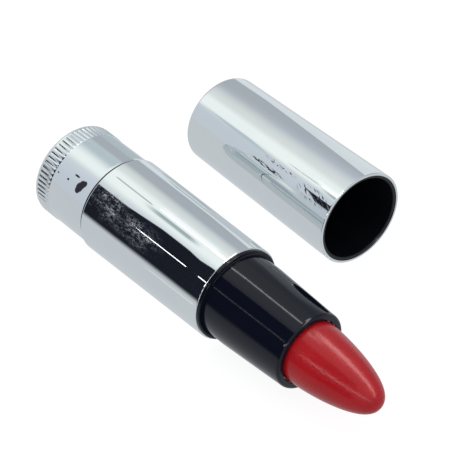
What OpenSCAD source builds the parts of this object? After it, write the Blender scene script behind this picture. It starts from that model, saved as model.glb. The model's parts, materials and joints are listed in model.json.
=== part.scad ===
// Twist-up lipstick case, lying on its side with its cap beside it.
//
// Each piece of the case is drawn on one common axis, with z = 0 at the front rim of the
// body and +z towards the tip of the bullet. lay_case() lays that axis down on the ground,
// with the tip towards +X. Each piece of the cap is drawn with z = 0 at its mouth and +z
// pointing out of it, and lay_cap() lays it down beside the case.
// The radii are built up from the bullet outwards, so each piece fits round the next one.

/* [Bullet] */
// Diameter of the bullet
bullet_d = 12.1; // [10:0.1:14.6]
// Length of the bullet that stands out of the neck when it is twisted up
bullet_show = 16.95; // [14:0.05:20.4]
// Straight stretch of the bullet ahead of the neck, before it rounds off
bullet_straight = 0.6; // [0.2:0.1:2]
// Depth of the bullet's tip below the neck's lip when it is twisted down
bullet_sink = 1.65; // [0.5:0.05:3]

/* [Carrier] */
// Wall of the metal cup that holds the bullet
cup_wall = 0.35; // [0.25:0.05:0.6]
// Length of the metal cup
cup_len = 10; // [8:0.5:12]
// Thickness of the cup's floor
cup_floor = 0.4; // [0.3:0.1:0.8]
// Length of the elevator under the cup
elevator_len = 3.2; // [2.6:0.1:4]
// Diameter of the two lugs on the elevator
lug_d = 1.4; // [1:0.1:1.8]
// Diameter of the boss that joins the elevator to the cup's floor
boss_d = 4; // [3:0.5:6]

/* [Twist mechanism] */
// Turns of the knob from twisted up to twisted down
twist_turns = 1.5; // [1:0.25:2]
// Wall of the tube with the straight slots
tube_wall = 0.4; // [0.3:0.05:0.6]
// Wall of the sleeve with the helical slots
sleeve_wall = 0.4; // [0.3:0.05:0.6]
// Plain ring left at each end of the sleeve, past its slots
sleeve_ring = 1.5; // [1:0.1:2.5]
// Length of the bush round the front of the slotted tube
front_bush_len = 1.8; // [1:0.1:2.4]
// Radial clearance between pieces that turn or slide on each other
slide_gap = 0.05; // [0.02:0.01:0.1]
// Clearance on each side of a lug in its slots
lug_gap = 0.08; // [0.05:0.01:0.12]

/* [Neck] */
// Length of the neck from the body's front rim to its lip
neck_len = 19.4; // [17:0.1:23.4]
// Wall of the neck's foot round the sleeve
neck_wall = 0.88; // [0.8:0.02:1.2]
// Step under the neck's foot, which rests on the collar and leaves the root thinner
foot_step = 0.2; // [0.16:0.02:0.3]
// Radius that the neck loses from its foot to its lip
neck_taper = 0.68; // [0.3:0.02:0.8]
// Straight land at the neck's foot that the cap grips
neck_land = 4; // [3:0.5:6]
// Thickness of the lip at the neck's front
lip_len = 0.8; // [0.5:0.1:1.2]
// Radial gap between the bullet and the lip
lip_gap = 0.25; // [0.15:0.05:0.4]
// Rounding of the lip's outer edge
lip_round = 0.6; // [0.3:0.1:0.8]

/* [Collar] */
// Length that the collar stands out of the rim
collar_proud = 0.55; // [0.3:0.05:1.2]
// Distance of the collar's edge in from the rim's edge
collar_inset = 0.28; // [0.15:0.01:0.36]
// Length of the collar's spigot inside the body
collar_spigot = 3; // [2:0.5:5]

/* [Body] */
// Length of the body from the seam to the front rim
body_len = 31.75; // [26.4:0.05:38.1]
// Distance from the neck's foot out to the body's rim
shell_step = 1.07; // [0.9:0.01:1.4]
// Radius that the body gains from the rim to the seam
body_flare = 0.4; // [0.2:0.05:0.6]
// Wall of the metal shells of the body and the knob
shell_wall = 0.4; // [0.3:0.05:0.5]
// Wall of the liner round the rear bush
liner_wall = 0.5; // [0.4:0.05:0.7]

/* [Knob] */
// Length of the knob
knob_len = 14; // [11.6:0.1:16.8]
// Radius of the knob below that of the body at the seam
knob_inset = 0.4; // [0.2:0.05:0.6]
// Width of the seam between the knob and the body
seam_gap = 0.35; // [0.25:0.05:0.6]
// Depth of the washer's edge in the seam
washer_inset = 0.35; // [0.2:0.05:0.4]
// Rounding of the knob's end edge
knob_edge = 1; // [0.7:0.1:1.4]
// Thickness of the knob's end wall
knob_end_wall = 0.9; // [0.7:0.1:1.2]
// Length of the ribbed band, from the knob's end
rib_band = 4.1; // [3:0.1:6]
// Number of ribs round the band
rib_count = 62; // [40:1:80]
// Height of the ribs above the smooth part of the knob
rib_rise = 0.12; // [0.05:0.01:0.2]
// Depth of the grooves between the ribs
rib_depth = 0.2; // [0.15:0.05:0.35]
// Length that the grooves run on past the ribs, into the smooth part
groove_run = 0.25; // [0.1:0.05:0.5]
// Diameter of the recess for the disc in the knob's end
disc_d = 12.8; // [10:0.1:14]
// Depth of that recess
disc_recess = 0.35; // [0.25:0.05:0.5]
// Thickness of the disc
disc_t = 0.15; // [0.1:0.05:0.2]

/* [Knob bearing] */
// Length of the rear bush that the knob's spigot turns in
bush_len = 5.4; // [4.8:0.1:6.5]
// Wall of the rear bush
bush_wall = 0.75; // [0.6:0.05:0.9]
// Set-back of the bush from the seam end of the body
bush_set = 0.45; // [0.3:0.05:1]
// Diameter of the friction ring's section
ring_d = 1; // [0.8:0.1:1.1]
// Thickness of the retaining ring
clip_t = 0.6; // [0.4:0.1:0.8]
// Depth of the retaining ring's groove
clip_depth = 0.45; // [0.3:0.05:0.5]
// Gap in the retaining ring
clip_gap = 3; // [2:0.5:5]
// Length of the spigot ahead of the retaining ring
spigot_nose = 0.9; // [0.6:0.1:1.5]
// Length of the slotted tube that is pressed into the spigot
tube_grip = 4; // [3:0.1:4.2]
// Diameter of the weight in the knob
weight_d = 13.2; // [10:0.1:14]
// Length of the weight
weight_len = 7; // [5:0.1:8]

/* [Cap] */
// Length of the cap
cap_len = 40.45; // [37.8:0.05:48.5]
// Radius of the cap's mouth beyond that of the body's rim
cap_over = 0.11; // [0:0.01:0.3]
// Radius that the cap loses from its mouth to its closed end
cap_taper = 0.59; // [0.3:0.01:0.8]
// Wall of the cap's shell
cap_wall = 0.5; // [0.3:0.05:0.55]
// Rounding of the cap's closed end
cap_edge = 0.9; // [0.5:0.1:1.4]
// Radial clearance of the cap's grip on the neck
cap_gap = 0.05; // [0.03:0.01:0.1]
// Length of the grip inside the cap's mouth
cap_grip = 4.5; // [3:0.5:6]
// Radius that the liner's hollow loses behind the grip
hollow_taper = 0.53; // [0.3:0.01:0.6]
// Thickness of the liner's end
liner_end = 1; // [0.6:0.1:1.6]
// Depth of the liner's edge inside the cap's mouth
liner_inset = 0.15; // [0.05:0.05:0.3]

/* [Resting places] */
// Distance from the case's axis to the middle of the cap's mouth
cap_side = 30.7; // [24:0.1:60]
// Distance of the cap's mouth behind the body's rim
cap_back = 0.9; // [-10:0.1:20]
// Angle between the cap and the case, in degrees
cap_skew = 2.1; // [0:0.1:15]

/* [Hidden] */
$fn = 96;
arc_steps = 8;           // chords in a rounded edge
tip_steps = 28;          // rings in the bullet's nose
nose_power = 2.42;       // the nose is (r / bullet_r) ^ nose_power
length_power = 1.46;     //   + (z / nose_len) ^ length_power = 1
edge = 0.12;             // small chamfer on the edges of thin pieces
groove_share = 0.6;      // width of a groove at its mouth, as a share of the ribs' pitch
past = 0.5;              // how far a cutter reaches past what it cuts
slot_turn = 20;          // largest turn of one straight piece of a helical slot
guide_gap = 0.1;         // radial clearance of the cup in the neck's front
end_play = 0.1;          // axial clearance at the ends of the travel and of the tubes
cup_clear = 0.4;         // cup's edge below the lip when it is twisted up
lug_root = 0.5;          // depth of a lug in the elevator
elevator_wall = 0.9;     // wall of the elevator's skirt
elevator_web = 1.2;      // thickness of the elevator's top
core_wall = 0.9;         // ledge behind the slotted tube in the knob's core
ring_squeeze = 0.02;     // friction ring's edge short of the bush
clip_clear = 0.15;       // retaining ring's edge short of the liner
nose_clear = 0.3;        // liner's step ahead of the spigot

// Radii, from the bullet outwards
bullet_r = bullet_d / 2;
cup_r = bullet_r + cup_wall;
tube_in = cup_r + slide_gap;
tube_out = tube_in + tube_wall;
sleeve_in = tube_out + slide_gap;
sleeve_out = sleeve_in + sleeve_wall;
neck_r = sleeve_out + neck_wall;
root_r = neck_r - foot_step;
rim_r = neck_r + shell_step;
collar_r = rim_r - collar_inset;
seam_r = rim_r + body_flare;
knob_r = seam_r - knob_inset;
core_r = knob_r - shell_wall;
rib_r = knob_r + rib_rise;
bush_out = seam_r - shell_wall - liner_wall;
spigot_r = bush_out - bush_wall - slide_gap;
ring_centre = spigot_r + slide_gap - ring_squeeze - ring_d / 2;
cap_r = rim_r + cap_over;
grip_r = neck_r + cap_gap;

// Places along the case's axis
lip_z = neck_len - lip_len;
nose_z = neck_len + bullet_straight;
tip_z = neck_len + bullet_show;
nose_len = tip_z - nose_z;
cup_z = lip_z - cup_clear - cup_len;
elevator_z = cup_z - elevator_len;
lug_z = elevator_z + elevator_len / 2;
travel = bullet_show + bullet_sink;
lead = travel / twist_turns;
slot_r = lug_d / 2 + lug_gap;
slot_front = lug_z + end_play;
slot_rear = lug_z - travel - end_play;
sleeve_front = slot_front + slot_r + sleeve_ring;
sleeve_rear = slot_rear - slot_r - sleeve_ring;
neck_step = sleeve_front + front_bush_len;
seam_z = -body_len;
knob_front = seam_z - seam_gap;
knob_end = knob_front - knob_len;
bush_z = seam_z + bush_set;
clip_z = bush_z + bush_len + slide_gap;
spigot_front = clip_z + clip_t + spigot_nose;
tube_rear = spigot_front - tube_grip;
ring_z = tube_rear - ring_d - slide_gap;
core_z = knob_end + knob_end_wall;

// How the case and the cap lie: each rests along the straight side of its taper
case_tilt = atan(body_flare / body_len);
cap_tilt = atan(cap_taper / cap_len);
case_x = ((tip_z + knob_end) * cos(case_tilt) - (rib_r - knob_edge) * sin(case_tilt)) / -2;
cap_reach = max(cap_r * cos(cap_skew),
                (cap_len - cap_edge) * sin(cap_skew) + cap_out(cap_edge - cap_len));
case_y = (seam_r - cap_side - cap_reach) / 2;

function body_out(z) = rim_r - body_flare * z / body_len;
function body_in(z) = body_out(z) - shell_wall;
function cap_out(z) = cap_r + cap_taper * z / cap_len;
function cap_in(z) = cap_out(z) - cap_wall;

// Points of a quarter circle of radius e round [r, z], from angle a0 to a1
function arc(r, z, e, a0, a1) =
    [for (i = [0 : arc_steps]) let (a = a0 + (a1 - a0) * i / arc_steps)
        [r + e * cos(a), z + e * sin(a)]];

module lay_case() {
    translate([case_x, case_y, rim_r * cos(case_tilt)])
        rotate([0, 90 + case_tilt, 0]) children();
}

module lay_cap() {
    translate([case_x - cap_back, case_y + cap_side, cap_r * cos(cap_tilt)])
        rotate([0, 0, -cap_skew]) rotate([0, 90 - cap_tilt, 0]) children();
}

module turned(points) {
    rotate_extrude() polygon(points);
}

module tube(r_out, r_in, z0, z1) {
    difference() {
        translate([0, 0, z0]) cylinder(r = r_out, h = z1 - z0);
        translate([0, 0, z0 - past]) cylinder(r = r_in, h = z1 - z0 + 2 * past);
    }
}

// A round bar along a radius at turn angle phi, from r0 to r1
module radial_pin(phi, z, r, r0, r1) {
    rotate([0, 0, phi]) translate([r0, 0, z]) rotate([0, 90, 0]) cylinder(r = r, h = r1 - r0, $fn = 32);
}

// ---- Body ----

module body_shell() {
    color("silver") lay_case() turned([
        [body_in(seam_z), seam_z], [body_out(seam_z) - edge, seam_z],
        [body_out(seam_z + edge), seam_z + edge], [body_out(-edge), -edge],
        [rim_r - edge, 0], [body_in(0), 0]]);
}

module body_liner() {
    step_z = spigot_front + nose_clear;
    color("white") lay_case() turned([
        [bush_out, seam_z], [body_in(seam_z), seam_z],
        [body_in(-collar_spigot), -collar_spigot], [root_r, -collar_spigot],
        [root_r, step_z], [bush_out, step_z]]);
}

module collar() {
    color("black") lay_case() turned([
        [root_r, -collar_spigot], [body_in(-collar_spigot), -collar_spigot],
        [body_in(0), 0], [collar_r, 0], [collar_r, collar_proud - edge],
        [collar_r - edge, collar_proud], [root_r, collar_proud]]);
}

module neck() {
    front_r = neck_r - neck_taper;
    land_z = collar_proud + neck_land;
    lip_r = bullet_r + lip_gap;
    color("black") lay_case() turned(concat(
        [[sleeve_out, sleeve_rear], [root_r, sleeve_rear], [root_r, collar_proud],
         [neck_r, collar_proud], [neck_r, land_z]],
        arc(front_r - lip_round, neck_len - lip_round, lip_round, 0, 90),
        [[lip_r, neck_len], [lip_r, lip_z], [cup_r + guide_gap, lip_z],
         [cup_r + guide_gap, neck_step], [sleeve_out, neck_step]]));
}

module spiral_sleeve() {
    slot_mid = (sleeve_in + sleeve_out) / 2;
    helix_tilt = atan(lead / (2 * PI * slot_mid));
    pieces = ceil(360 * twist_turns / slot_turn);
    turn = 360 * twist_turns / pieces;
    piece_len = 2 * PI * slot_mid * turn / 360 / cos(helix_tilt) + end_play;
    color("goldenrod") lay_case() difference() {
        tube(sleeve_out, sleeve_in, sleeve_rear, sleeve_front);
        for (start = [0, 180]) {
            for (i = [0 : pieces - 1]) {
                phi = -turn * (i + 0.5);
                rotate([0, 0, start + phi]) translate([slot_mid, 0, lug_z + lead * phi / 360])
                    rotate([helix_tilt, 0, 0])
                        cube([sleeve_wall + 2 * past, piece_len, 2 * slot_r], center = true);
            }
            radial_pin(start, lug_z, slot_r, sleeve_in - past, sleeve_out + past);
            radial_pin(start - 360 * twist_turns, lug_z - travel, slot_r,
                       sleeve_in - past, sleeve_out + past);
        }
    }
}

module front_bush() {
    color("ivory") lay_case() tube(sleeve_out, tube_out + slide_gap, sleeve_front, neck_step);
}

module rear_bush() {
    color("ivory") lay_case() tube(bush_out, spigot_r + slide_gap, bush_z, bush_z + bush_len);
}

// ---- Knob ----

module knob_shell() {
    groove_r = rib_r - rib_depth;
    groove_w = 2 * PI * rib_r / rib_count * groove_share;
    groove_z = knob_end + knob_edge + edge;
    band_z = knob_end + rib_band;
    color("silver") lay_case() difference() {
        turned(concat(
            [[0, knob_end]],
            arc(rib_r - knob_edge, knob_end + knob_edge, knob_edge, -90, 0),
            [[rib_r, band_z], [knob_r, band_z], [knob_r, knob_front - edge],
             [knob_r - edge, knob_front], [core_r, knob_front], [core_r, core_z], [0, core_z]]));
        for (i = [0 : rib_count - 1]) {
            rotate([0, 0, 360 * (i + 0.5) / rib_count]) translate([0, 0, groove_z])
                linear_extrude(band_z + groove_run - groove_z)
                    polygon([[groove_r, 0], [rib_r + edge, -groove_w / 2],
                             [rib_r + edge, groove_w / 2]]);
        }
        translate([0, 0, knob_end - past]) cylinder(d = disc_d, h = disc_recess + past);
    }
}

module knob_insert() {
    pocket_z = core_z + weight_len;
    web_z = pocket_z + core_wall;
    groove_r = spigot_r - clip_depth;
    ring_floor = ring_centre - ring_d / 2;
    ring_half = ring_d / 2 + slide_gap;
    color("dimgray") lay_case() turned([
        [weight_d / 2, core_z], [core_r, core_z], [core_r, knob_front],
        [spigot_r, knob_front], [spigot_r, ring_z - ring_half], [ring_floor, ring_z - ring_half],
        [ring_floor, ring_z + ring_half], [spigot_r, ring_z + ring_half],
        [spigot_r, clip_z], [groove_r, clip_z], [groove_r, clip_z + clip_t],
        [spigot_r, clip_z + clip_t], [spigot_r, spigot_front], [tube_out, spigot_front],
        [tube_out, tube_rear], [tube_in - core_wall, tube_rear], [tube_in - core_wall, web_z],
        [0, web_z], [0, pocket_z], [weight_d / 2, pocket_z]]);
}

module base_weight() {
    color("gray") lay_case() translate([0, 0, core_z]) cylinder(d = weight_d, h = weight_len);
}

module shade_disc() {
    color("gainsboro") lay_case() translate([0, 0, knob_end + disc_recess - disc_t])
        cylinder(d = disc_d, h = disc_t);
}

module thrust_washer() {
    color("black") lay_case()
        tube(knob_r - washer_inset, spigot_r, knob_front, seam_z - slide_gap);
}

module friction_ring() {
    color("darkred") lay_case() translate([0, 0, ring_z])
        rotate_extrude() translate([ring_centre, 0]) circle(d = ring_d, $fn = 32);
}

module retaining_ring() {
    color("gray") lay_case() difference() {
        tube(bush_out - clip_clear, spigot_r - clip_depth, clip_z, clip_z + clip_t);
        translate([spigot_r - clip_depth - past, -clip_gap / 2, clip_z - past])
            cube([bush_out, clip_gap, clip_t + 2 * past]);
    }
}

module slotted_tube() {
    color("lightsteelblue") lay_case() difference() {
        tube(tube_out, tube_in, tube_rear, neck_step - end_play);
        for (start = [0, 180]) {
            rotate([0, 0, start]) translate([tube_in - past, -slot_r, slot_rear])
                cube([tube_wall + 2 * past, 2 * slot_r, slot_front - slot_rear]);
            for (z = [slot_rear, slot_front])
                radial_pin(start, z, slot_r, tube_in - past, tube_out + past);
        }
    }
}

// ---- Carrier ----

module elevator() {
    color("white") lay_case() {
        difference() {
            union() {
                translate([0, 0, elevator_z]) cylinder(r = cup_r, h = elevator_len);
                translate([0, 0, elevator_z + elevator_len - past])
                    cylinder(d = boss_d, h = cup_floor + past);
                for (start = [0, 180])
                    radial_pin(start, lug_z, lug_d / 2, cup_r - lug_root, sleeve_out - lug_gap);
            }
            translate([0, 0, elevator_z - past])
                cylinder(r = cup_r - elevator_wall, h = elevator_len - elevator_web + past);
        }
    }
}

module bullet_cup() {
    color("gold") lay_case() difference() {
        translate([0, 0, cup_z]) cylinder(r = cup_r, h = cup_len);
        translate([0, 0, cup_z + cup_floor]) cylinder(r = bullet_r, h = cup_len);
        translate([0, 0, cup_z - past]) cylinder(d = boss_d, h = cup_floor + 2 * past);
    }
}

module bullet() {
    // The rings crowd towards the tip, where the nose curves most
    nose = [for (i = [0 : tip_steps]) let (t = 1 - pow(1 - i / tip_steps, 2))
        [bullet_r * pow(1 - pow(t, length_power), 1 / nose_power), nose_z + nose_len * t]];
    color("crimson") lay_case() turned(concat(
        [[0, cup_z + cup_floor], [bullet_r, cup_z + cup_floor]], nose));
}

// ---- Cap ----

module cap_shell() {
    end_z = -cap_len;
    end_r = cap_out(cap_edge - cap_len);
    color("silver") lay_cap() turned(concat(
        [[0, end_z]], arc(end_r - cap_edge, end_z + cap_edge, cap_edge, -90, 0),
        [[cap_out(-edge), -edge], [cap_r - edge, 0], [cap_in(0), 0],
         [cap_in(end_z + cap_wall), end_z + cap_wall], [0, end_z + cap_wall]]));
}

module cap_liner() {
    end_z = cap_wall - cap_len;
    hollow_r = grip_r - hollow_taper;
    floor_z = end_z + liner_end;
    color("black") lay_cap() turned([
        [0, end_z], [cap_in(end_z), end_z], [cap_in(-liner_inset), -liner_inset],
        [grip_r + edge, -liner_inset], [grip_r, -liner_inset - edge], [grip_r, -cap_grip],
        [hollow_r, floor_z], [0, floor_z]]);
}

body_shell();
body_liner();
collar();
neck();
spiral_sleeve();
front_bush();
rear_bush();
knob_shell();
knob_insert();
base_weight();
shade_disc();
thrust_washer();
friction_ring();
retaining_ring();
slotted_tube();
elevator();
bullet_cup();
bullet();
cap_shell();
cap_liner();
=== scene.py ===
"""The looks of a twist-up lipstick case that lies on its side with its cap beside it.

The shown pieces are turned on the case's and the cap's own axes, with outlines read off the
CAD nodes. In both frames z runs along the axis, towards the tip or out of the mouth, and an
angle is measured round the axis from straight up towards -Y, the camera's side.
Chrome shows little but its surroundings, so much of the script is the cards that it mirrors.
"""

import json
import math

import bpy
from mathutils import Matrix, Vector, geometry


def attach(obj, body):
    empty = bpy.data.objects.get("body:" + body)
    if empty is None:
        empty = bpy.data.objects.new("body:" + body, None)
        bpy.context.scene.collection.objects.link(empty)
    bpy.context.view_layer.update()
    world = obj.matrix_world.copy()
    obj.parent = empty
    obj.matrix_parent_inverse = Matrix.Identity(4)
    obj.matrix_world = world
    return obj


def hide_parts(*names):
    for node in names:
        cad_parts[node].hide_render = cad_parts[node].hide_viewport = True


MM = 0.001
HAIR = 1e-6  # m, the rounding of the corners read off a CAD node
SAME = 1e-5  # m, corners closer than this share a radius or a place
STRAIGHT = 0.004 * MM  # how far a corner may lie off a straight stretch of an outline
TURN_STEPS = 288  # columns round a plain turned piece
RIB_COUNT = 62
RIB_STEPS = 16  # columns to each rib of the knob
EASE, EASE_STEPS = 0.12 * MM, 4  # a rounded corner's size and its rows
GUARD = 0.06 * MM  # from a rounded corner to the ring beside it
FLAT_TURN = math.radians(12)  # a corner that turns less is left as part of a curve

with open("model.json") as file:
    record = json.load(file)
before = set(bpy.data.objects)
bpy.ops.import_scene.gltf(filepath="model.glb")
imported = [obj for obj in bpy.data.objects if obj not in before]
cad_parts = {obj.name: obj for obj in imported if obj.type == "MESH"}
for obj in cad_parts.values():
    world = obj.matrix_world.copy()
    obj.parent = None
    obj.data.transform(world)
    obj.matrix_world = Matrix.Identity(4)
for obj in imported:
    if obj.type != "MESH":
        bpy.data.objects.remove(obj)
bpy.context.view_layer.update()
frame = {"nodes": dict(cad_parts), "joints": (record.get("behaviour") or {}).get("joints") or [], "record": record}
nodes, joints = frame["nodes"], {j["name"]: j for j in frame["joints"]}
mounts = {m["name"]: m for m in frame["record"]["mounts"]}


# ---- Frames and outlines ----


def along(point, axis):
    """The frame whose z is axis and whose x is straight up from it, with y towards the camera's side."""
    z = Vector(axis).normalized()
    x = (Vector((0, 0, 1)) - z * z.z).normalized()
    rows = Matrix((x, z.cross(x), z)).transposed().to_4x4()
    return Matrix.Translation(Vector(point)) @ rows


def corners(node, place):
    """The (radius, z) pairs of a CAD node's vertices on its own axis, from its low end up."""
    back = place.inverted()
    local = (back @ v.co for v in nodes[node].data.vertices)
    found = {(round(math.hypot(p.x, p.y), 6), round(p.z, 6)) for p in local}
    return sorted(found, key=lambda c: c[1])


case = along(joints["knob_twist"]["pos_m"], joints["knob_twist"]["axis"])
cap_axis = mounts["cap_bore"]["axis"]
cap_end = Vector(mounts["cap_end_face"]["pos_m"])
cap_len = max(z for _, z in corners("cap_shell", along(cap_end, cap_axis)))
cap = along(cap_end + Vector(cap_axis) * cap_len, cap_axis)


def straightened(line):
    """The outline without the points that lie on a straight stretch."""
    seam_shade = Vector(line[0]), Vector(line[-1])
    off = [(Vector(p) - geometry.intersect_point_line(Vector(p), *seam_shade)[0].to_2d()).length for p in line]
    worst = max(range(len(line)), key=off.__getitem__)
    if off[worst] < STRAIGHT:
        return [line[0], line[-1]]
    return straightened(line[: worst + 1]) + straightened(line[worst:])[1:]


def outer(node, place):
    """A CAD node's outer outline from its low end to its high end: the convex hull of its corners."""

    def bulges(a, b, c):
        return (c[1] - a[1]) * (b[0] - a[0]) > (c[0] - a[0]) * (b[1] - a[1])

    hull = []
    for corner in corners(node, place):
        while len(hull) > 1 and not bulges(hull[-2], hull[-1], corner):
            hull.pop()
        hull.append(corner)
    return straightened(hull)


def eased(outline, size=EASE):
    """The outline with its corners rounded off, and a ring close to each side of a corner so that the
    flats beside it shade flat."""
    out = [outline[0]]
    for before, here, after in zip(outline, outline[1:], outline[2:]):
        a, b, c = Vector(before), Vector(here), Vector(after)
        u, v = a - b, c - b
        if math.pi - u.angle(v, math.pi) < FLAT_TURN:
            out.append(here)
            continue
        e = min(size, 0.4 * u.length, 0.4 * v.length)
        g = min(GUARD, 0.2 * u.length, 0.2 * v.length)
        u.normalize(), v.normalize()
        out.append(tuple(b + u * (e + g)))
        for i in range(EASE_STEPS + 1):
            t = i / EASE_STEPS
            out.append(tuple((b + u * e) * (1 - t) ** 2 + b * 2 * t * (1 - t) + (b + v * e) * t**2))
        out.append(tuple(b + v * (e + g)))
    out.append(outline[-1])
    return out


def loop(line, size=EASE):
    """eased() for an outline that is a loop."""
    return eased([line[-1]] + line + [line[0]], size)[1:-1]


def tube(node, place):
    """The outline of a hollow turned piece: its outer outline, closed along its smallest radius."""
    line = outer(node, place)
    inner = min(r for r, _ in corners(node, place))
    low, high = line[0][1], line[-1][1]
    outside = line[1:-1] if line[0][0] < inner else line
    return outside + [(inner, high), (inner, low)]


# ---- Turned meshes ----


def placed(name, data):
    """A new object in the scene."""
    made = bpy.data.objects.new(name, data)
    bpy.context.scene.collection.objects.link(made)
    return made


def turned(name, place, outline, material, body, stands_for, radius_at=None, steps=TURN_STEPS):
    """A closed solid of revolution. The outline is closed through the axis, or is a loop round a hollow.
    radius_at(angle, r, z) may change a point's radius."""
    angles = [2 * math.pi * i / steps for i in range(steps)]
    points, rings = [], []
    for r, z in outline:
        if r < HAIR:
            rings.append([len(points)])
            points.append((0, 0, z))
            continue
        rings.append(list(range(len(points), len(points) + steps)))
        for a in angles:
            q = radius_at(a, r, z) if radius_at else r
            points.append((q * math.cos(a), q * math.sin(a), z))
    faces = []
    open_ends = len(rings[0]) == 1 and len(rings[-1]) == 1
    pairs = list(zip(rings, rings[1:])) + ([] if open_ends else [(rings[-1], rings[0])])
    for low, high in pairs:
        for i in range(steps):
            j = (i + 1) % steps
            quad = [low[i % len(low)], low[j % len(low)], high[j % len(high)], high[i % len(high)]]
            faces.append(tuple(dict.fromkeys(quad)))
    mesh = bpy.data.meshes.new(name)
    mesh.from_pydata([place @ Vector(p) for p in points], [], faces)
    mesh.polygons.foreach_set("use_smooth", [True] * len(mesh.polygons))
    mesh.materials.append(material)
    mesh.update()
    piece = placed(name, mesh)
    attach(piece, body)
    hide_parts(stands_for)


# ---- Camera, on the sight line worked out from the front rim's outline ----

CAMERA_SIDE = Vector((0.21804, -0.18977, 0))  # from the rim's centre, along the ground
CAMERA_HEIGHT = 0.26304
HEADING, PITCH = math.radians(139.25), math.radians(39.55)

rim = case.translation
camera_data = bpy.data.cameras.new("camera")
camera_data.lens = 174.07
camera_data.sensor_width = 36
camera_data.clip_start, camera_data.clip_end = 0.02, 20
camera = placed("camera", camera_data)
bpy.context.scene.camera = camera
camera.location = Vector((rim.x, rim.y, CAMERA_HEIGHT)) + CAMERA_SIDE
ahead = math.cos(PITCH)
sight = Vector((ahead * math.cos(HEADING), ahead * math.sin(HEADING), -math.sin(PITCH)))
camera.rotation_euler = sight.to_track_quat("-Z", "Y").to_euler()


# ---- Materials ----


class Tree:
    """The node tree of a material or a world, with a short way to add and join nodes."""

    def __init__(self, owner, empty=True):
        owner.use_nodes = True
        self.nodes, self.links = owner.node_tree.nodes, owner.node_tree.links
        if empty:
            self.nodes.clear()

    def put(self, value, socket):
        if isinstance(value, bpy.types.NodeSocket):
            self.links.new(value, socket)
        elif value is not None:
            socket.default_value = value

    def add(self, kind, inputs=(), **settings):
        node = self.nodes.new(kind)
        for key, value in settings.items():
            setattr(node, key, value)
        for key, value in dict(inputs).items():
            self.put(value, node.inputs[key])
        return node

    def math(self, operation, a, b=None, c=None):
        return self.add("ShaderNodeMath", {0: a, 1: b, 2: c}, operation=operation).outputs[0]

    def vector(self, operation, a, b):
        return self.add("ShaderNodeVectorMath", {0: a, 1: b}, operation=operation).outputs

    def ramp(self, value, low, high, to=(0.0, 1.0)):
        return self.add(
            "ShaderNodeMapRange",
            {"Value": value, "From Min": low, "From Max": high, "To Min": to[0], "To Max": to[1]},
            interpolation_type="SMOOTHSTEP",
        ).outputs[0]

    def mix(self, fac, a, b):
        return self.add("ShaderNodeMix", {0: fac, 6: a, 7: b}, data_type="RGBA").outputs[2]

    def glow(self, colour, strength):
        return self.add("ShaderNodeEmission", {"Color": (*colour, 1), "Strength": strength}).outputs[0]

    def choose(self, fac, a, b):
        return self.add("ShaderNodeMixShader", {0: fac, 1: a, 2: b}).outputs[0]


class Finish(Tree):
    """A piece's material."""

    def __init__(self, name):
        self.material = bpy.data.materials.new(name)
        super().__init__(self.material, empty=False)
        self.shader = self.nodes["Principled BSDF"]
        self.place = self.add("ShaderNodeTexCoord").outputs["Object"]

    def noise(self, scale, detail=4.0, stretch=(1, 1, 1), rough=0.5):
        at = self.add("ShaderNodeMapping", {"Vector": self.place, "Scale": stretch}).outputs[0]
        inputs = {"Vector": at, "Scale": scale, "Detail": detail, "Roughness": rough}
        return self.add("ShaderNodeTexNoise", inputs).outputs["Fac"]

    def unrolled(self, place, radius):
        """Where a point of a round piece lies, in mm: along its axis, and round it from straight up at
        that radius."""
        gap = self.vector("SUBTRACT", self.place, tuple(place.translation))[0]
        axes = [tuple(place.col[i].to_3d()) for i in range(3)]
        x, y, z = (self.vector("DOT_PRODUCT", gap, axis)["Value"] for axis in axes)
        return self.math("MULTIPLY", z, 1 / MM), self.math("MULTIPLY", self.math("ARCTAN2", y, x), radius)

    def patch(self, flat, centre, size, soft=0.4):
        """1 inside an ellipse of the unrolled surface, falling to 0 at its edge. Its centre and size are
        in mm."""
        parts = zip(flat, centre, size)
        a, b = (self.math("DIVIDE", self.math("SUBTRACT", v, c), s) for v, c, s in parts)
        away = self.math("ADD", self.math("MULTIPLY", a, a), self.math("MULTIPLY", b, b))
        return self.ramp(self.math("SQRT", away), 1.0, 1.0 - soft)

    def slivers(self, flat, lean, scale, width, cut):
        """Short strokes on the unrolled surface, lean degrees from its axis. A smaller width draws them
        out longer, and a higher cut leaves fewer."""
        cos, sin = math.cos(math.radians(lean)), math.sin(math.radians(lean))
        s, t = flat
        u = self.math("ADD", self.math("MULTIPLY", s, cos), self.math("MULTIPLY", t, sin))
        v = self.math("SUBTRACT", self.math("MULTIPLY", t, cos), self.math("MULTIPLY", s, sin))
        at = self.add("ShaderNodeCombineXYZ", {0: self.math("MULTIPLY", u, width), 1: v}).outputs[0]
        inputs = {"Vector": at, "Scale": scale, "Detail": 2.0, "Roughness": 0.5}
        return self.ramp(self.add("ShaderNodeTexNoise", inputs).outputs["Fac"], cut, cut + 0.05)

    def bump(self, height, distance):
        made = self.add("ShaderNodeBump", {"Height": height, "Distance": distance, "Strength": 1.0})
        self.put(made.outputs[0], self.shader.inputs["Normal"])

    def set(self, **values):
        for key, value in values.items():
            self.put(value, self.shader.inputs[key.replace("_", " ")])


# A dark plastic colour painted over the plating, for the painted reflections and the painted seam shade
PAINTED_DARK_COLOUR = (0.010, 0.011, 0.018, 1)


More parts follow.
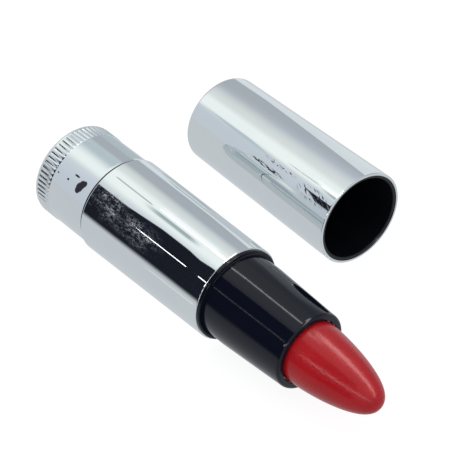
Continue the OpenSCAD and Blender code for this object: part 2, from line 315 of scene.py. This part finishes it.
def chrome(name, place, radius, film=(), mirrored_dark_spots=(), mirrored_dark_strokes=(), seam_shade=(), satin_below=None):
    """Bright plating on plastic, with a fine patchy haze of wear.

    film: patches where the haze is a heavier bloom, each a centre and a size.
    bare: painted reflections, dark spots painted where dark things show mirrored in the chrome, each a centre and
    a size.
    scars: painted reflections, patches of dark strokes painted where dark things show mirrored, each a centre, a
    size and what slivers() takes.
    ends: stretches along the axis painted dark, a painted shade that widens the dark seam between the shells.
    satin_below: where on the axis a less bright stretch stops.
    Places and sizes are in mm on the unrolled surface.
    """
    m = Finish(name)
    flat = m.unrolled(place, radius)
    fine = m.noise(900, 5, (0.25, 1, 1), 0.65)
    broad = m.noise(120, 4, (0.5, 1, 1), 0.6)
    worn = m.math("MULTIPLY", m.ramp(broad, 0.5, 0.72), m.ramp(fine, 0.45, 0.65))
    tint = m.mix(m.ramp(broad, 0.35, 0.65), (0.775, 0.815, 0.83, 1), (0.80, 0.835, 0.835, 1))
    rough = m.math("MULTIPLY_ADD", worn, 0.16, 0.03)
    metallic = 1.0
    if film:
        streaky = m.ramp(m.noise(420, 5, (0.45, 1, 1), 0.65), 0.40, 0.62)
        speck = m.ramp(m.noise(2600, 4, (0.6, 1, 1), 0.6), 0.40, 0.62)
        bloom = 0.0
        for centre, size in film:
            local = m.math("MULTIPLY", m.patch(flat, centre, size, 0.7), streaky)
            bloom = m.math("MAXIMUM", bloom, m.math("MULTIPLY", local, speck))
        rough = m.math("MULTIPLY_ADD", bloom, 0.28, rough)
        metallic = m.math("MULTIPLY_ADD", bloom, -0.36, metallic)
    if satin_below is not None:
        rough = m.math("MULTIPLY_ADD", m.math("LESS_THAN", flat[0], satin_below), 0.22, rough)
    # The share painted dark, for the painted reflections and the painted seam shade
    painted_dark = 0.0
    # Painted reflections: dark spots, then patches of dark strokes, where dark things show mirrored
    for centre, size in mirrored_dark_spots:
        painted_dark = m.math("MAXIMUM", painted_dark, m.patch(flat, centre, size, 0.25))
    for centre, size, *stroke in mirrored_dark_strokes:
        strokes = m.math("MULTIPLY", m.patch(flat, centre, size), m.slivers(flat, *stroke))
        painted_dark = m.math("MAXIMUM", painted_dark, strokes)
    # Painted shade: a stretch beside a seam painted dark, so that the seam's shadow looks wider
    for low, high in seam_shade:
        above, below = m.math("GREATER_THAN", flat[0], low), m.math("LESS_THAN", flat[0], high)
        painted_dark = m.math("MAXIMUM", painted_dark, m.math("MULTIPLY", above, below))
    m.set(
        Metallic=m.math("MULTIPLY", metallic, m.math("SUBTRACT", 1.0, painted_dark)),
        Base_Color=m.mix(painted_dark, tint, PAINTED_DARK_COLOUR),
        Roughness=m.math("MULTIPLY_ADD", painted_dark, 0.3, rough),
    )
    m.bump(m.noise(260, 2, (0.3, 1, 1)), 0.006 * MM)
    return m.material


def gloss(name, colour, roughness, specular):
    """Moulded black plastic with a faint flow pattern."""
    m = Finish(name)
    flow = m.noise(140, 3, (0.2, 1, 1), 0.5)
    lighter = tuple(c * 1.5 for c in colour) + (1,)
    m.set(
        Base_Color=m.mix(flow, colour + (1,), lighter),
        Roughness=m.ramp(flow, 0.3, 0.7, (roughness * 0.85, roughness * 1.2)),
        Specular_IOR_Level=specular,
    )
    m.bump(m.noise(2600, 2), 0.004 * MM)
    return m.material


def wax(name):
    """Lipstick wax: a satin red with slight drag marks along the bullet and fine bloom."""
    m = Finish(name)
    drag = m.noise(420, 4, (0.12, 1, 1), 0.6)
    fine = m.noise(2200, 3)
    m.set(
        Base_Color=m.mix(m.ramp(drag, 0.3, 0.7), (0.57, 0.006, 0.011, 1), (0.65, 0.010, 0.016, 1)),
        Roughness=m.ramp(fine, 0.3, 0.7, (0.20, 0.28)),
        Specular_IOR_Level=0.34,
        Subsurface_Weight=0.12,
        Subsurface_Radius=(1.0, 0.2, 0.15),
        Subsurface_Scale=0.6 * MM,
    )
    m.bump(m.math("MULTIPLY_ADD", drag, 0.7, m.math("MULTIPLY", fine, 0.3)), 0.03 * MM)
    return m.material


def plain(name, colour, roughness, metallic=0.0, grain=900, stretch=(1, 1, 1)):
    """The finish of an inner piece: moulded plastic, rubber, or drawn and turned metal."""
    m = Finish(name)
    g = m.noise(grain, 4, stretch)
    darker = tuple(c * 0.85 for c in colour) + (1,)
    m.set(
        Base_Color=m.mix(g, darker, colour + (1,)),
        Metallic=metallic,
        Roughness=m.ramp(g, 0.3, 0.7, (roughness * 0.8, min(1.0, roughness * 1.2))),
    )
    m.bump(g, 0.01 * MM)
    return m.material


# The radii, in mm, that cards and marks are placed at
BODY_R, KNOB_R, NECK_R, WAX_R, CAP_R = 9.45, 9.25, 7.9, 5.9, 9.1

knob_front = max(z for _, z in corners("knob_shell", case)) / MM
body_rear = min(z for _, z in corners("body_shell", case)) / MM
body_chrome = chrome(
    "body_chrome", case, BODY_R,
    film=[((-27, 7.2), (6.5, 4.0)), ((-19, 8.2), (9, 3.0))],
    # Painted shade along the seam at the body's rear edge
    seam_shade=[(body_rear - 1, body_rear + 0.1)],
)
knob_chrome = chrome(
    "knob_chrome", case, KNOB_R,
    # Painted reflections: a dark blot and specks where dark things show mirrored on the knob
    mirrored_dark_spots=[
        ((-35.05, 8.0), (0.95, 1.0)),
        ((-34.75, 7.35), (0.85, 0.9)),
        ((-34.35, 7.0), (0.6, 0.65)),
        ((-35.2, 8.6), (0.7, 0.75)),
        ((-36.8, 6.6), (0.75, 0.22)),
        ((-38.3, 8.1), (0.3, 0.25)),
        ((-41.1, 8.2), (0.2, 0.2)),
    ],
    # Painted shade along the seam at the knob's front edge
    seam_shade=[(knob_front - 0.14, knob_front + 1)],
    satin_below=-42.1,
)
cap_chrome = chrome(
    "cap_chrome", cap, CAP_R,
    # Painted reflections: dark strokes where dark things show mirrored on the cap
    mirrored_dark_strokes=[
        ((-4.6, 8.1), (5.2, 1.5), 28, 2.6, 0.22, 0.56),
        ((-17.5, 8.85), (5.6, 0.4), 2, 3.4, 0.2, 0.47),
        ((-14.6, 7.3), (5.0, 0.45), 4, 3.8, 0.25, 0.55),
    ],
)
gloss_black = gloss("gloss_black", (0.0048, 0.0060, 0.0125), 0.08, 0.26)
cap_black = gloss("cap_black", (0.004, 0.0045, 0.007), 0.32, 0.30)
finishes = {
    "white_plastic": plain("white_plastic", (0.82, 0.82, 0.80), 0.45),
    "grey_plastic": plain("grey_plastic", (0.16, 0.16, 0.17), 0.45),
    "brass": plain("brass", (0.75, 0.58, 0.28), 0.28, 1.0, 1400, (0.1, 1, 1)),
    "aluminium": plain("aluminium", (0.80, 0.80, 0.81), 0.3, 1.0, 1400, (0.1, 1, 1)),
    "steel": plain("steel", (0.55, 0.55, 0.56), 0.3, 1.0, 1600, (1, 0.2, 0.2)),
    "rubber": plain("rubber", (0.02, 0.02, 0.022), 0.7),
    "disc": plain("disc", (0.85, 0.85, 0.86), 0.35),
}


# ---- Pieces ----

turned(
    "body_shell_skin", case, loop(tube("body_shell", case)), body_chrome,
    "case", "body_shell",
)
turned(
    "collar_skin", case, loop(tube("collar", case), size=0.2 * MM), gloss_black,
    "case", "collar",
)


def neck_outline():
    """The neck's root, the step that rests on the collar, the outside, and its bore."""
    line = corners("neck", case)
    low, seat = line[0][1], max(z for _, z in corners("collar", case))
    lip_r, lip_z = min(r for r, _ in line), line[-1][1]
    clear_r = lip_r + 0.05 * MM  # past the lip's own radius
    root = [r for r, z in line if z < low + SAME]
    root_r, tube_r = max(root), min(root)
    outside = [p for p in outer("neck", case) if p[1] > seat - SAME]
    step = min(z for r, z in line if clear_r < r < root_r - 0.8 * MM and z > seat)
    bore_r = min(r for r, z in line if r > clear_r and z < lip_z - 0.5 * MM)
    back = max(z for r, z in line if abs(r - bore_r) < SAME)
    bore = [(lip_r, back), (bore_r, back), (bore_r, step), (tube_r, step), (tube_r, low)]
    return [(root_r, low), (root_r, seat)] + outside + bore


turned("neck_skin", case, loop(neck_outline()), gloss_black, "case", "neck")

NOSE_POWER, LENGTH_POWER, NOSE_RINGS = 2.42, 1.46, 64


def bullet_outline():
    """The bullet's straight foot, then (r / radius) ^ NOSE_POWER + (z / length) ^ LENGTH_POWER = 1."""
    line = corners("bullet", case)
    radius = max(r for r, _ in line)
    foot, tip = line[0][1], line[-1][1]
    nose = max(z for r, z in line if r > radius - HAIR)
    shares = [1 - (1 - i / NOSE_RINGS) ** 2 for i in range(NOSE_RINGS)]
    curve = [
        (radius * (1 - t**LENGTH_POWER) ** (1 / NOSE_POWER), nose + (tip - nose) * t) for t in shares
    ]
    return [(0, foot), (radius, foot)] + curve + [(0, tip)]


turned(
    "bullet_wax", case, bullet_outline(), wax("lipstick_wax"),
    "carrier", "bullet",
)


def knob_sizes():
    """The knob's end wall with its recess, the ribbed band's shoulder, the smooth part and the open front."""
    line = corners("knob_shell", case)
    end, front = line[0][1], line[-1][1]
    rib_r = max(r for r, _ in line)
    band = max(z for r, z in line if r > rib_r - SAME)
    recess_r, floor = corners("shade_disc", case)[-1]
    shoulder = [p for p in outer("knob_shell", case) if p[1] < band - HAIR and p[0] > recess_r + SAME]
    return {
        "end": end,
        "front": front,
        "rib_r": rib_r,
        "band": band,
        "smooth_r": max(r for r, z in line if z > front - 1 * MM),
        "recess_r": recess_r,
        "floor": floor,
        "shoulder": sorted(shoulder, key=lambda p: p[1]),
        "inside_r": min(r for r, z in line if abs(z - front) < HAIR),
        "inside": corners("base_weight", case)[0][1],
    }


knob = knob_sizes()
GROOVE_DEPTH, GROOVE_SHARE, GROOVE_RUN = 0.15 * MM, 0.6, 0.25 * MM  # the share is of a rib's pitch
groove_start = max(z for _, z in knob["shoulder"]) + 0.12 * MM
groove_end = knob["band"] + GROOVE_RUN


def ribbed(angle, r, z):
    """The knob's radius with its V grooves cut in."""
    if not groove_start < z < groove_end or r < knob["smooth_r"] - 0.2 * MM:
        return r
    pitch = 2 * math.pi / RIB_COUNT
    off = abs((angle / pitch) % 1 - 0.5) * 2  # 1 on a rib's crest, 0 at a groove's floor
    cut = knob["rib_r"] - GROOVE_DEPTH * (1 - min(1.0, off / GROOVE_SHARE))
    return min(r, cut)


def knob_outline():
    """The knob's outline, with a pair of rings at each end of the grooves so that they end sharply."""
    end, front, floor, band, inside = (knob[k] for k in ("end", "front", "floor", "band", "inside"))
    rib_r, smooth_r, recess_r, inside_r = (knob[k] for k in ("rib_r", "smooth_r", "recess_r", "inside_r"))
    gap = 0.015 * MM
    rows = eased([(0, floor), (recess_r, floor), (recess_r, end)] + knob["shoulder"], size=0.15 * MM)
    rows += [(rib_r, groove_start - gap), (rib_r, groove_start + gap)]
    rows += [(rib_r, band - 0.05 * MM), (rib_r - 0.02 * MM, band)]
    rows += [(smooth_r, band + 0.02 * MM), (smooth_r, groove_end - gap), (smooth_r, groove_end + gap)]
    mouth = [(smooth_r, groove_end + 0.3 * MM), (smooth_r, front), (inside_r, front)]
    return rows + eased(mouth + [(inside_r, inside), (0, inside)])


turned(
    "knob_skin", case, knob_outline(), knob_chrome,
    "knob", "knob_shell", ribbed, RIB_COUNT * RIB_STEPS,
)
turned(
    "washer_skin", case, loop(tube("thrust_washer", case)), gloss_black,
    "knob", "thrust_washer",
)


def cap_outlines():
    """The cap's shell, with its mouth turned in over the liner, and the liner's cup."""
    shell, liner = outer("cap_shell", cap), corners("cap_liner", cap)
    back, face = min(z for _, z in liner), max(z for _, z in liner)
    lip_r = max(r for r, z in liner if z > -0.5 * MM)
    low_r = max(r for r, z in liner if abs(z - back) < HAIR)
    shell_rows = [(0, shell[0][1])]
    shell_rows += [p for p in shell if p[0] > lip_r - 1 * MM and (p[1] < -HAIR or p[0] > lip_r)]
    shell_rows += [(lip_r, 0), (low_r, back), (0, back)]
    grip_r = mounts["cap_bore"]["dims"]["r_mm"] * MM
    floor_r, floor = next((r, z) for r, z in liner if r < grip_r and z > back + 0.3 * MM)
    grip_back = min(z for r, z in liner if abs(r - grip_r) < 2 * HAIR)
    bevel = 0.12 * MM
    liner_rows = [(0, back), (low_r, back), (lip_r, face), (grip_r + bevel, face), (grip_r, face - bevel)]
    liner_rows += [(grip_r, grip_back), (floor_r, floor), (0, floor)]
    return shell_rows, liner_rows


shell_rows, liner_rows = cap_outlines()
turned("cap_skin", cap, eased(shell_rows), cap_chrome, "cap", "cap_shell")
turned("cap_liner_skin", cap, eased(liner_rows), cap_black, "cap", "cap_liner")

slots = {s["node"]: s["material_slot"] for s in frame["record"].get("subparts", [])}
for name, node in nodes.items():
    if not node.hide_render and slots.get(name) in finishes:
        node.data.materials.clear()
        node.data.materials.append(finishes[slots[name]])


# ---- Stage: the cards that the chrome mirrors ----


def glowing(name, colour, strength):
    """A card's own light, clear where the mesh's cover is 0."""
    material = bpy.data.materials.new(name)
    t = Tree(material)
    cover = t.add("ShaderNodeAttribute", attribute_name="cover").outputs["Fac"]
    clear = t.add("ShaderNodeBsdfTransparent").outputs[0]
    t.add("ShaderNodeOutputMaterial", {"Surface": t.choose(cover, clear, t.glow(colour, strength))})
    return material


def sheet(name, rows, soft, colour, strength):
    """A card from rows of points. It fades out over a share of its size at each edge: soft holds the
    shares for the first and last column and the first and last row. It shows in reflections alone, so
    that it neither lights nor shades anything else."""
    n, m = len(rows[0]), len(rows)
    faces = [
        (j * n + i, j * n + i + 1, (j + 1) * n + i + 1, (j + 1) * n + i)
        for j in range(m - 1)
        for i in range(n - 1)
    ]
    mesh = bpy.data.meshes.new(name)
    mesh.from_pydata([p for row in rows for p in row], [], faces)
    mesh.materials.append(glowing(name, colour, strength))

    def fade(i, count, first, last):
        at = i / (count - 1)
        t = min(1.0, at / first if first else 1.0, (1 - at) / last if last else 1.0)
        return t * t * (3 - 2 * t)

    cover = mesh.attributes.new("cover", "FLOAT", "POINT")
    values = [fade(i, n, *soft[:2]) * fade(j, m, *soft[2:]) for j in range(m) for i in range(n)]
    cover.data.foreach_set("value", values)
    made = placed(name, mesh)
    made.visible_camera = made.visible_diffuse = made.visible_shadow = False
    made.visible_transmission = made.visible_volume_scatter = False


def bounce(place, radius, z, angle, reach):
    """Where the camera's sight line lands, reach away, after it glances off a round piece at z and angle
    degrees, all in the piece's own frame and mm."""
    a = math.radians(angle)
    point = place @ Vector((radius * math.cos(a) * MM, radius * math.sin(a) * MM, z * MM))
    normal = place.to_3x3() @ Vector((math.cos(a), math.sin(a), 0))
    ray = (point - camera.location).normalized()
    return point + (ray - 2 * ray.dot(normal) * normal) * reach * MM


def card(name, place, radius, z_range, angles, reach, colour, strength, soft=(0, 0, 0, 0), steps=(48, 24)):
    """A card that shows in a round piece from z_range[0] to z_range[1] mm and between two angles, which
    may be functions of z."""
    rows = []
    for j in range(steps[1] + 1):
        row = []
        for i in range(steps[0] + 1):
            z = z_range[0] + (z_range[1] - z_range[0]) * i / steps[0]
            low, high = (angle(z) if callable(angle) else angle for angle in angles)
            row.append(bounce(place, radius, z, low + (high - low) * j / steps[1], reach))
        rows.append(row)
    sheet(name, rows, soft, colour, strength)


def band_top(z):
    """The upper edge of the dark band: it rises a little towards the knob and near the rim."""
    return 29.5 + 3.5 * min(1.0, max(0.0, (-13 - z) / 9)) + 1.5 * max(0.0, 1 - abs(z + 3) / 3)


def wall_top(z):
    """The slanting top of the pale wall behind the cap."""
    return -8 + 0.41 * (z + 5)


DARK, WHITE = (0.012, 0.014, 0.022), (1.0, 1.0, 1.0)
STREAK, SOFT_STREAK = (0.48, 0.55, 0.57), (0.43, 0.50, 0.50)
KNOB_FAR, KNOB_UPPER = (0.50, 0.57, 0.61), (0.56, 0.64, 0.68)
FAR_WALL, MOUTH_WALL = (0.77, 0.82, 0.85), (0.56, 0.61, 0.66)

# Each is the name, the piece it shows in and its radius, the stretch in mm, the two angles in degrees,
# the reach in mm, the colour and strength, and what is soft
card("dark_card", case, BODY_R, (-31.4, 60), (band_top, 73), 40, DARK, 1.0, (0, 0, 0.02, 0.15), (96, 48))
card("high_line", case, BODY_R, (-16.5, -0.8), (13.7, 14.4), 44, WHITE, 3.0)
card("high_glow", case, BODY_R, (-18, -0.8), (8, 14.5), 46, WHITE, 1.18, (0.2, 0.1, 0.45, 0.1))
card("rear_streak", case, BODY_R, (-29, -18), (14.5, 16.6), 45, STREAK, 1.0, (0.1, 0.1, 0.3, 0.3))
card("soft_streak", case, BODY_R, (-21, -4), (16.5, 23), 45, SOFT_STREAK, 1.0, (0.35, 0.25, 0.25, 0.5))
card("low_line", case, BODY_R, (-17.5, -4.5), (45.6, 46.2), 38, WHITE, 3.0)
card("low_gleam", case, BODY_R, (-15, -0.5), (75.3, 76.8), 25, WHITE, 0.85, (0.3, 0, 0.2, 0.2))
card("knob_far", case, KNOB_R, (-48, -32.7), (-42, -19), 40, KNOB_FAR, 1.0, (0, 0, 0.2, 0.1))
card("knob_upper", case, KNOB_R, (-48, -32.7), (-8, 19), 22, KNOB_UPPER, 1.0, (0, 0, 0.3, 0.6))
card("neck_high_line", case, NECK_R, (-2, 30), (13.2, 15), 44, WHITE, 8.0)
card("neck_low_line", case, NECK_R, (-0.5, 24), (45.5, 46.4), 37, WHITE, 2.2)
card("wax_high_line", case, WAX_R, (26, 110), (1, 12), 43, WHITE, 8.0, (0.03, 0, 0.4, 0.4))
card("wax_low_line", case, WAX_R, (27, 110), (47.5, 50.5), 36, WHITE, 6.0, (0.03, 0, 0.2, 0.2))
card("far_wall", cap, CAP_R, (-44, 12), (-50, wall_top), 70, FAR_WALL, 1.0, (0.1, 0.1, 0.1, 0))
card("mouth_wall", cap, CAP_R, (-12, 2), (54, 66), 13, MOUTH_WALL, 1.0, (0.3, 0, 0.15, 0.15))

OVERHEAD_COLOUR, OVERHEAD_ENDS, OVERHEAD_ROWS = (0.98, 1.02, 1.0), (-0.2, 0.2), 24


def overhead(name, height, middle, half, soft, strength):
    """A soft light over both halves, on the line where their brightest bands point."""
    lines = [middle + j / OVERHEAD_ROWS * half for j in range(-OVERHEAD_ROWS, OVERHEAD_ROWS + 1)]
    rows = [[(x, y, height) for x in OVERHEAD_ENDS] for y in lines]
    sheet(name, rows, (0, 0, soft, soft), OVERHEAD_COLOUR, strength)


overhead("overhead_glow", 0.073, -0.004, 0.060, 0.38, 0.84)
overhead("overhead", 0.071, -0.016, 0.030, 0.33, 1.05)


# ---- Stage: the floor and the studio round it ----


def floor(half=3.0):
    """A pale floor. It keeps only a trace of shadow, and reflections see it evenly lit and paler at the
    back. Less light comes up from it onto the undersides than shows in the chrome."""
    mesh = bpy.data.meshes.new("floor")
    square = [(-half, -half, 0), (half, -half, 0), (half, half, 0), (-half, half, 0)]
    mesh.from_pydata(square, [], [(0, 1, 2, 3)])
    obj = placed("floor", mesh)
    material = bpy.data.materials.new("floor")
    t = Tree(material)
    path = t.add("ShaderNodeLightPath").outputs
    place = t.add("ShaderNodeTexCoord").outputs["Object"]
    y = t.add("ShaderNodeSeparateXYZ", {0: place}).outputs["Y"]
    level = t.math("MULTIPLY_ADD", path["Is Diffuse Ray"], -0.42, t.ramp(y, 0.03, 0.12, (0.66, 0.84)))
    shaded = t.add("ShaderNodeBsdfDiffuse", {"Color": (0.25, 0.24, 0.23, 1)}).outputs[0]
    seen = t.add("ShaderNodeAddShader", {0: t.glow(WHITE, 0.90), 1: shaded}).outputs[0]
    mirrored = t.glow((0.96, 1.0, 1.045), level)
    t.add("ShaderNodeOutputMaterial", {"Surface": t.choose(path["Is Camera Ray"], mirrored, seen)})
    mesh.materials.append(material)


floor()

STUDIO_TINT = (0.94, 1.0, 1.09)
# The walls' brightness by height in degrees above the horizon, on the far side and the near side
FAR_LEVELS = ((0, 0.82), (5, 0.82), (7, 0.48), (30, 0.50), (45, 0.60), (90, 0.75))
NEAR_LEVELS = ((0, 0.68), (20, 0.69), (45, 0.75), (90, 0.80))


def studio():
    """The walls of the studio, as light by direction: a pale sweep low down, a greyer wall above it on
    the far side, and a bright ceiling."""
    world = bpy.data.worlds.new("studio")
    bpy.context.scene.world = world
    t = Tree(world)
    direction = t.add("ShaderNodeTexCoord").outputs["Generated"]
    split = t.add("ShaderNodeSeparateXYZ", {0: direction}).outputs

    def wall(levels):
        node = t.add("ShaderNodeValToRGB", {"Fac": split["Z"]})
        points = node.color_ramp.elements
        while len(points) < len(levels):
            points.new(0.5)
        for point, (height, level) in zip(points, levels):
            point.position = math.sin(math.radians(height))
            point.color = (*(level * c for c in STUDIO_TINT), 1)
        return node.outputs["Color"]

    colour = t.mix(t.ramp(split["Y"], -0.12, 0.12), wall(NEAR_LEVELS), wall(FAR_LEVELS))
    background = t.add("ShaderNodeBackground", {"Color": colour}).outputs[0]
    t.add("ShaderNodeOutputWorld", {"Surface": background})


studio()
bpy.context.scene.view_settings.view_transform = "Standard"
